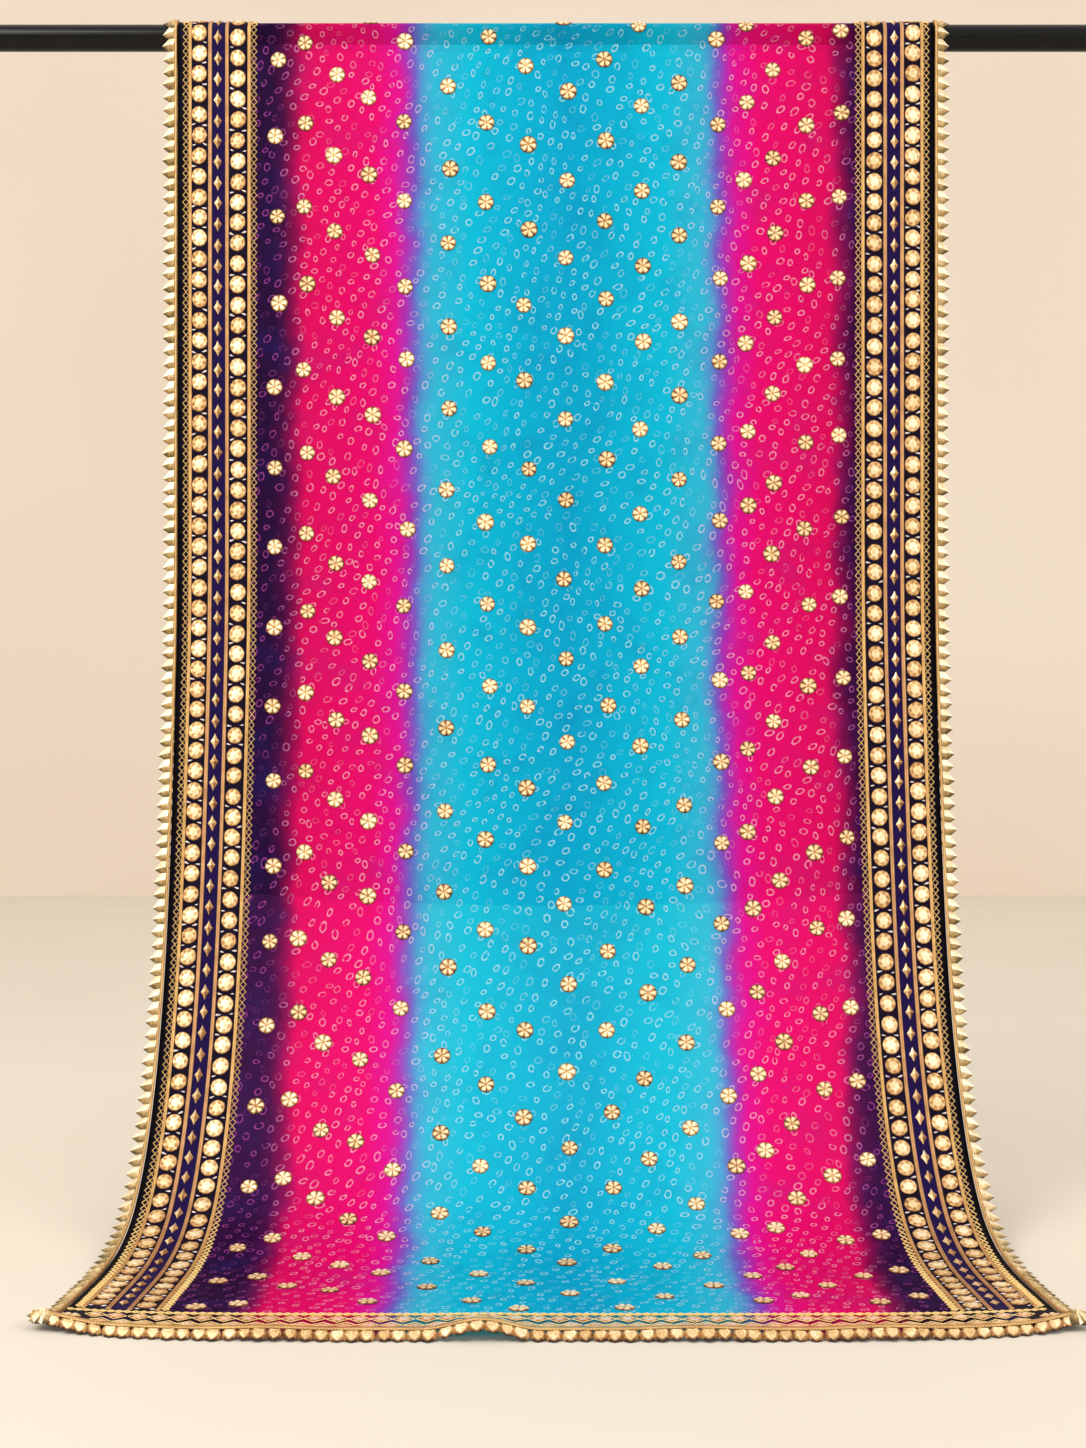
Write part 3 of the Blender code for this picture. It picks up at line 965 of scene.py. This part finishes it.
def diamond_shade(corner, middle):
    """Painted highlight on the left facets, painted shade on the right, more painted shade below."""
    return (0.06 if middle.x < 0 else 0.36) + (0.0 if middle.y > 0 else 0.16)


keep_shade(diamond, diamond_shade)
places = [Place(side * (DIAMOND_ACROSS + uneven(0.0003)), up + uneven(0.0007), uneven(0.05),
                1.0 + uneven(0.06), 1, ON_TAPE)
          for side in (-1, 1) for up in column_ups(DIAMOND_PITCH, DIAMOND_FIRST)]
sew_on(copies(diamond, "gota_diamonds", places), disc_foil, "gold_lace")

# %% [markdown]
# ## Leaf beads
# Small silver leaves sit in the gaps between the discs, at both edges of their ground.
# Some have come off, so about four gaps in ten stay empty. A low-detail ball is drawn out
# to a point on one end and flattened.

# %% Leaf beads
BEAD_LENGTH, BEAD_WIDTH, BEAD_HEIGHT = 0.0052, 0.0023, 0.0015
BEADS_LEFT = 0.62
silver = Recipe("silver_leaf")
silver_cloud = silver.noise(silver.object_place(), 500.0, 2.0)
silver.set(Base_Color=silver.mix(silver_cloud, paint(196, 176, 176), paint(255, 246, 240)),
           Metallic=0.35, Roughness=0.22 + silver_cloud * 0.2)

deselect()
bpy.ops.mesh.primitive_ico_sphere_add(subdivisions=1, radius=0.5)
bead = edit_new("bead")
pick(lambda point: point.x < -0.2)
stretch(y=0.35, z=0.6)
shift(x=-0.35)
pick_all()
stretch(BEAD_LENGTH / 1.2, BEAD_WIDTH, BEAD_HEIGHT)
close_edit()
keep_shade(bead, lambda corner, middle: 0.0)
EDGE_SIDES = {"inner": (0.3440, 0.3641), "outer": (0.3879, 0.4062)}
BEAD_INSET = 0.0026
places = []
for side in (-1, 1):
    for name, (across, first) in DISC_COLUMNS.items():
        for up in column_ups(DISC_PITCH, first):
            for edge, facing in zip(EDGE_SIDES[name], (1, -1)):
                if dice.random() < BEADS_LEFT:
                    places.append(Place(side * (edge + facing * BEAD_INSET + uneven(0.0004)),
                                        up - DISC_PITCH / 2 + uneven(0.0012), uneven(0.45),
                                        dice.uniform(0.7, 1.15), -side * facing, ON_TAPE + 0.0005))
sew_on(copies(bead, "leaf_beads", places), silver.material, "gold_lace")

# %% [markdown]
# ## Zigzag laces
# Two gold zigzags cross and leave a chain of small open diamonds. One link is a ring with
# only four corners, drawn wider or taller as needed, and the links touch at their tips.

# %% Laces
LINK_PITCH = 0.0080
LINK_WIRE = 0.00085
LINK_SHARE = 0.08


def make_link(name, wide, tall, share=LINK_SHARE, wire=LINK_WIRE):
    """One open diamond: a torus with four corners, stretched to its width and height."""
    deselect()
    bpy.ops.mesh.primitive_torus_add(major_segments=4, minor_segments=4,
                                     major_radius=0.5, minor_radius=share)
    link = edit_new(name)
    stretch(wide * (1.02 - share), tall * (1.02 - share), wire / share)
    close_edit()
    # Painted shade: the underside of the wire is darker than its top.
    keep_shade(link, lambda corner, middle: 0.0 if corner.z > 0 else 0.34)
    return link


LACES = {"lace_inner": (0.3334, 0.3394), "lace_outer": (0.4090, 0.4150)}
link = make_link("link", 0.0070, LINK_PITCH)
for hand, side in HANDS:
    for name, (inner, outer) in LACES.items():
        out = ON_TAPE if name == "lace_outer" else TAPE_OUT
        places = [Place(side * ((inner + outer) / 2 + uneven(0.0002)), up, uneven(0.07),
                        1.0 + uneven(0.04), side, out + LINK_WIRE * 0.6)
                  for up in column_ups(LINK_PITCH, 0.0)]
        sew_on(copies(link, f"zigzag_{name}_{hand}", places), lace_foil, "gold_lace", f"{name}_{hand}")

# %% [markdown]
# ## Pointed edging
# Down both sides runs a fringe of folded ribbon points. A point is a four-sided pyramid
# laid on its side, cut once across and swelled at the cut. It has an upper face with a
# painted highlight, a lower face with painted shade and a flat back painted dark. The tip
# droops a little, because the points hang by their bases, and each point overlaps the next.

# %% Points
POINT_PITCH = 0.01412
POINT_HALF = POINT_PITCH * 0.90
POINT_REACH = 0.0143
POINT_FOOT = CLOTH_HALF + 0.0026
POINT_RIDGE = 0.0048

deselect()
bpy.ops.mesh.primitive_cone_add(vertices=4, radius1=1.0, radius2=0.0, depth=1.0,
                                location=(0.5, 0.0, 0.0), rotation=(0.0, math.pi / 2, 0.0))
bpy.ops.object.transform_apply(location=True, rotation=True, scale=True)
point = edit_new("point")
bpy.ops.mesh.bisect(plane_co=(0.45, 0.0, 0.0), plane_no=(1.0, 0.0, 0.0))
pick(lambda place: 0.4 < place.x < 0.5)
stretch(y=1.24, z=1.15)
pick(lambda place: place.x < 0.5 and place.z < -0.3)
stretch(z=0.1)
pick(lambda place: place.x < 0.5 and place.y < -0.3)
stretch(y=0.78)
pick(lambda place: place.x < 0.1 and place.z > 0.5)
shift(x=0.04, y=0.06)
pick(lambda place: 0.4 < place.x < 0.5 and place.z > 0.3)
shift(y=0.02)
pick(lambda place: place.x > 0.9)
shift(y=-0.10)
pick_all()
stretch(POINT_REACH, POINT_HALF, POINT_RIDGE)
close_edit()


def point_shade(corner, middle):
    """Painted light and shade: cream highlight above the ridge, olive shade under it, darkening
    towards the lower edge, darkest on the back.
    """
    if middle.z < 0.0003:
        return 0.85
    if middle.y > -0.0006:
        return 0.26 if corner.y > 0.004 else 0.02
    return 0.36 if corner.z > 0.001 else 0.78


keep_shade(point, point_shade)
print("point faces:", len(point.data.polygons))

# %% [markdown]
# The points grow from a narrow gold heading, which is sewn along the cloth's edge. Four
# more fan out round each front corner.

# %% Lay the points
HEADING_INNER, HEADING_OUTER = CLOTH_HALF + 0.0002, CLOTH_HALF + 0.0028
HEADING_COLUMNS = 5
HEADING_THICK = 0.0030
CORNER_TURNS = (0.15, 0.60, 1.05, 1.50)
CORNER_SIZE = 1.12
for hand, side in HANDS:
    place_band(f"heading_{hand}", side_columns(side, HEADING_INNER, HEADING_OUTER, HEADING_COLUMNS),
               WHOLE_LENGTH, HEADING_THICK, ribs(1), HEADING_THICK, gold_thread, "gold_edging")
    places = [Place(side * POINT_FOOT, up, uneven(0.10), 1.0 + uneven(0.05), side, -0.0002)
              for up in column_ups(POINT_PITCH, 0.0, FRONT_LENGTH)]
    places += [Place(side * (POINT_FOOT - 0.001), -FRONT_LENGTH - 0.001, -turn, CORNER_SIZE, side,
                     0.0010) for turn in CORNER_TURNS]
    sew_on(copies(point, f"gota_points_{hand}", places), point_foil, "gold_edging", f"edging_{hand}")

# %% [markdown]
# ## Flowers on the field
# Gold flowers stand in columns over the dyed field, each column at its own height, so that
# they also form slanting rows. They are the same kind of crimped round as the discs, with
# deeper lines between the petals, darkened with painted shade, and an amber heart.

# %% Flowers
FLOWER_RADIUS = 0.0090
# The flower's shades paint brown shade in the lines between the petals and round the rim.
FLOWER_RINGS = [
    Ring(1.00, 0.0006, 0.0004, 0.72, 0.86), Ring(0.80, 0.0017, 0.0009, 0.00, 0.78),
    Ring(0.30, 0.0014, 0.0010, 0.06, 0.56),
]
flower = rosette("flower", FLOWER_RADIUS, 3, FLOWER_RINGS, 0.0007, 0.50)
FLOWER_COLUMNS = [
    (-0.311, 0.504), (-0.278, 0.491), (-0.245, 0.521), (-0.207, 0.544),
    (-0.167, 0.484), (-0.119, 0.532), (-0.076, 0.481), (-0.033, 0.508),
    (0.011, 0.456), (0.055, 0.505), (0.095, 0.465), (0.139, 0.525),
    (0.180, 0.483), (0.212, 0.464), (0.242, 0.521), (0.279, 0.486),
    (0.316, 0.476),
]
FLOWER_PITCH = 0.0900
FLOWER_FIRST = -BACK_LENGTH + 0.02
FLOWER_LAST = FRONT_LENGTH - END_BORDER - 0.012
places = []
for across, along in FLOWER_COLUMNS:
    along -= FLOWER_PITCH * math.floor((along - FLOWER_FIRST) / FLOWER_PITCH)
    while along < FLOWER_LAST:
        places.append(Place(across + uneven(0.0030), -along + uneven(0.0060), uneven(0.25),
                            1.0 + uneven(0.06), 1, CLOTH_THICK / 2))
        along += FLOWER_PITCH
sew_on(copies(flower, "field_flowers", places), flower_foil, "gold_lace")

# %% [markdown]
# ## The border of the front end
# Across the front end run a zigzag, two staggered rows of discs in a net of gold thread,
# and a gold band. They pass over the tapes, and a flower fills each dark corner.

# %% End border
END_OUT = ON_TAPE + 0.0002
END_HALF = 0.4207
ZIGZAG_UP = -(FRONT_LENGTH - 0.0630)
ZIGZAG_WIDE, ZIGZAG_TALL = 0.0072, 0.0060
END_BAND = (0.0062, 0.0052, 0.0041, 0.0031, 0.0020)
END_BAND_OUT = END_OUT + 0.0016
END_BAND_THICK = 0.0008
END_COLUMNS = 96

link = make_link("end_link", ZIGZAG_WIDE, ZIGZAG_TALL)
places = [Place(-END_HALF + ZIGZAG_WIDE * (index + 0.5), ZIGZAG_UP, uneven(0.06), 1.0, 1, END_OUT)
          for index in range(int(2 * END_HALF / ZIGZAG_WIDE))]
sew_on(copies(link, "end_zigzag", places), lace_foil, "gold_lace", "end_lace")
place_band("end_band", evenly(-END_HALF, END_HALF, END_COLUMNS),
           [-(FRONT_LENGTH - back) for back in END_BAND], END_BAND_OUT, level, END_BAND_THICK,
           gold_thread, "gold_braid", "end_braid")

# %% Discs and net of the front end
END_DISC_PITCH = 0.0186
END_DISC_SIZE = 0.66
END_DISC_REACH = 0.398
END_ROWS = {0.0475: 0.0, 0.0270: 0.5}
NET_TALL = 0.0200
NET_SHARE = 0.026
NET_WIRE = 0.00040
CORNER_ACROSS, CORNER_BACK = 0.4095, 0.0330
places = []
for back, lead in END_ROWS.items():
    for index in range(int(2 * END_HALF / END_DISC_PITCH) - 1):
        across = -END_HALF + END_DISC_PITCH * (index + 0.6 + lead)
        if abs(across) < END_DISC_REACH:
            places.append(Place(across + uneven(0.0008), -(FRONT_LENGTH - back) + uneven(0.001),
                                uneven(0.3), END_DISC_SIZE + uneven(0.05), 1, END_OUT))
sew_on(copies(disc, "end_discs", places), rose_reflection_foil, "gold_lace")
net = make_link("net_link", END_DISC_PITCH, NET_TALL, NET_SHARE, NET_WIRE)
places = [place._replace(turn=uneven(0.05), size=1.0, out=END_OUT + NET_WIRE) for place in places]
sew_on(copies(net, "end_net", places), lace_foil, "gold_lace")
places = [Place(side * CORNER_ACROSS, -(FRONT_LENGTH - CORNER_BACK), uneven(0.3), 1.05, side, END_OUT)
          for side in (-1, 1)]
sew_on(copies(flower, "corner_flowers", places), flower_foil, "gold_lace")

# %% [markdown]
# ## Scalloped edging
# The front end closes with a row of puffed ribbon shells that lie on the floor. A shell
# is an eight-sided circle worked by extrude, inset and poke, like a disc, but drawn out to
# a blunt heart and raised higher. A narrow gold heading holds the row.

# %% Scallops
SHELL_HALF_WIDTH = 0.0070
SHELL_REACH = 0.0124
SHELL_HEIGHT = 0.0036
SHELL_HALF_LENGTH = SHELL_REACH / 2.1
SHELL_MIDDLE = -SHELL_REACH / 2 + 0.0014
SHELL_COUNT = 70
SHELL_SPAN = 0.8686
SHELL_COLUMNS = 120

shell = raised_circle("shell", 8, 1.0, 0.24)
bpy.ops.mesh.inset(thickness=0.08)
shift(z=0.62)
bpy.ops.mesh.inset(thickness=0.22)
bpy.ops.mesh.inset(thickness=0.10)
shift(z=-0.16)
bpy.ops.mesh.poke(offset=0.12)
pick(lambda place: place.y < -0.4)
stretch(x=0.94, z=0.66)
pick(lambda place: abs(place.x) < 0.1 and place.y < -0.4)
stretch(y=1.22, z=0.40)
pick(lambda place: place.y > 0.4)
stretch(y=0.75)
pick(lambda place: abs(place.x) < 0.1 and place.y > 0.3)
shift(y=-0.26)
pick_all()
stretch(SHELL_HALF_WIDTH, SHELL_HALF_LENGTH, SHELL_HEIGHT)
shift(y=SHELL_MIDDLE)
close_edit()


def shell_shade(corner, middle):
    """Painted shade dark underneath and at the foot, golden on the rim, in a crease round a cream
    painted highlight on the heart.
    """
    up = abs(middle.y - SHELL_MIDDLE) / SHELL_HALF_LENGTH
    inward = max(abs(middle.x) / SHELL_HALF_WIDTH, up)
    if middle.z < 0.0002:
        return 0.90
    if inward > 0.84:
        return 0.84 if corner.z < 0.0012 else 0.44
    return 0.36 if inward > 0.66 else 0.66 if inward > 0.54 else 0.04


keep_shade(shell, shell_shade)
print("shell faces:", len(shell.data.polygons))

# %% Lay the scallops
SHELL_PITCH = SHELL_SPAN / SHELL_COUNT
SHELL_HEADING = (0.0004, 0.0018, 0.0034)
SHELL_HEADING_OUT = 0.0036
SHELL_HEADING_THICK = 0.0016
places = [Place(-SHELL_SPAN / 2 + SHELL_PITCH * (index + 0.5) + uneven(0.0005), -FRONT_LENGTH - 0.0018,
                uneven(0.16), 1.0 + uneven(0.10), 1, -0.0003)
          for index in range(SHELL_COUNT)]
sew_on(copies(shell, "gota_scallops", places), shell_foil, "gold_edging", "edging_front")
place_band("scallop_heading", evenly(-SHELL_SPAN / 2, SHELL_SPAN / 2, SHELL_COLUMNS),
           [-(FRONT_LENGTH + past) for past in SHELL_HEADING], SHELL_HEADING_OUT, level,
           SHELL_HEADING_THICK, gold_thread, "gold_edging")

# %% [markdown]
# The motifs have done their work once their copies are made, so they are put away.

# %% Put the motifs away
print("motifs:", [motif.name for motif in motifs])
for motif in motifs:
    bpy.data.objects.remove(motif)

# %% [markdown]
# ## The rod
# The rod's own solid is already right: a plain round bar. It only needs its black gloss
# paint, which is a little uneven and dusty.

# %% Rod
black = Recipe("black_gloss")
dust = black.noise(black.object_place(), 45.0, 4.0)
black.set(Base_Color=black.mix(dust.step(0.4, 0.8) * 0.5, paint(5, 4, 4), paint(20, 16, 14)),
          Roughness=0.14 + dust * 0.14, Specular_IOR_Level=0.22)
black.bump(black.noise(black.object_place(), 260.0, 2.0), 0.05, 0.0004)
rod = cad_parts["rod"]
rod.data.materials.clear()
rod.data.materials.append(black.material)
print("rod finish:", black.material.name)

# %% [markdown]
# ## The pieces sewn on the cloth
# The sewn-on pieces are counted.

print("pieces on the cloth:", len(pieces_on_cloth))

# %% [markdown]
# ## Floor, wall and light
# A pale floor and a warm plain wall stand in for the room. A large soft light from the
# upper left gives the ribbon work its bright facets, a weaker one fills the right, and an
# even pale sky lights the rest.

# %% Floor and wall
FLOOR_SIZE = 34.0
FLOOR_Z = -0.0003
WALL_Y = 13.8


def room_side(name, place, turn, finish):
    """A large plane with its finish."""
    deselect()
    bpy.ops.mesh.primitive_plane_add(size=FLOOR_SIZE, location=place, rotation=(turn, 0.0, 0.0))
    side = bpy.context.object
    side.name = name
    side.data.materials.append(finish.material)
    return side


pale = Recipe("pale_floor")
cloud = pale.noise(pale.object_place(), 1.2, 3.0)
pale.set(Base_Color=pale.mix(cloud, paint(228, 219, 203), paint(221, 211, 194)), Roughness=0.7)
warm = Recipe("warm_wall")
cloud = warm.noise(warm.object_place(), 0.18, 2.0).step(0.3, 0.7)
warm.set(Base_Color=warm.mix(cloud, paint(244, 226, 208), paint(250, 236, 219)), Roughness=0.9)
floor = room_side("floor", (0.0, 0.0, FLOOR_Z), 0.0, pale)
wall = room_side("wall", (0.0, WALL_Y, FLOOR_SIZE / 2 - 0.1), math.pi / 2, warm)
print("room:", floor.name, wall.name)

# %% Lights
Lamp = namedtuple("Lamp", "name place aim size power color")
LAMPS = [
    Lamp("key", (-1.7, -1.7, 2.5), (0.0, 0.1, 0.7), 1.6, 44.0, (1.0, 0.98, 0.95)),
    Lamp("fill", (2.2, -1.4, 1.6), (0.0, 0.1, 0.6), 1.8, 12.0, (1.0, 0.98, 0.96)),
]
for lamp in LAMPS:
    data = bpy.data.lights.new(lamp.name, "AREA")
    data.shape = "DISK"
    data.size = lamp.size
    data.energy = lamp.power
    data.color = lamp.color
    light = new_object(lamp.name, data)
    light.location = lamp.place
    light.rotation_euler = (Vector(lamp.aim) - Vector(lamp.place)).to_track_quat("-Z", "Y").to_euler()

world = bpy.data.worlds.new("studio")
world.use_nodes = True
sky = world.node_tree.nodes["Background"].inputs
sky["Color"].default_value = (1.0, 0.985, 0.955, 1.0)
sky["Strength"].default_value = 1.04
bpy.context.scene.world = world
print("lamps:", [lamp.name for lamp in LAMPS])
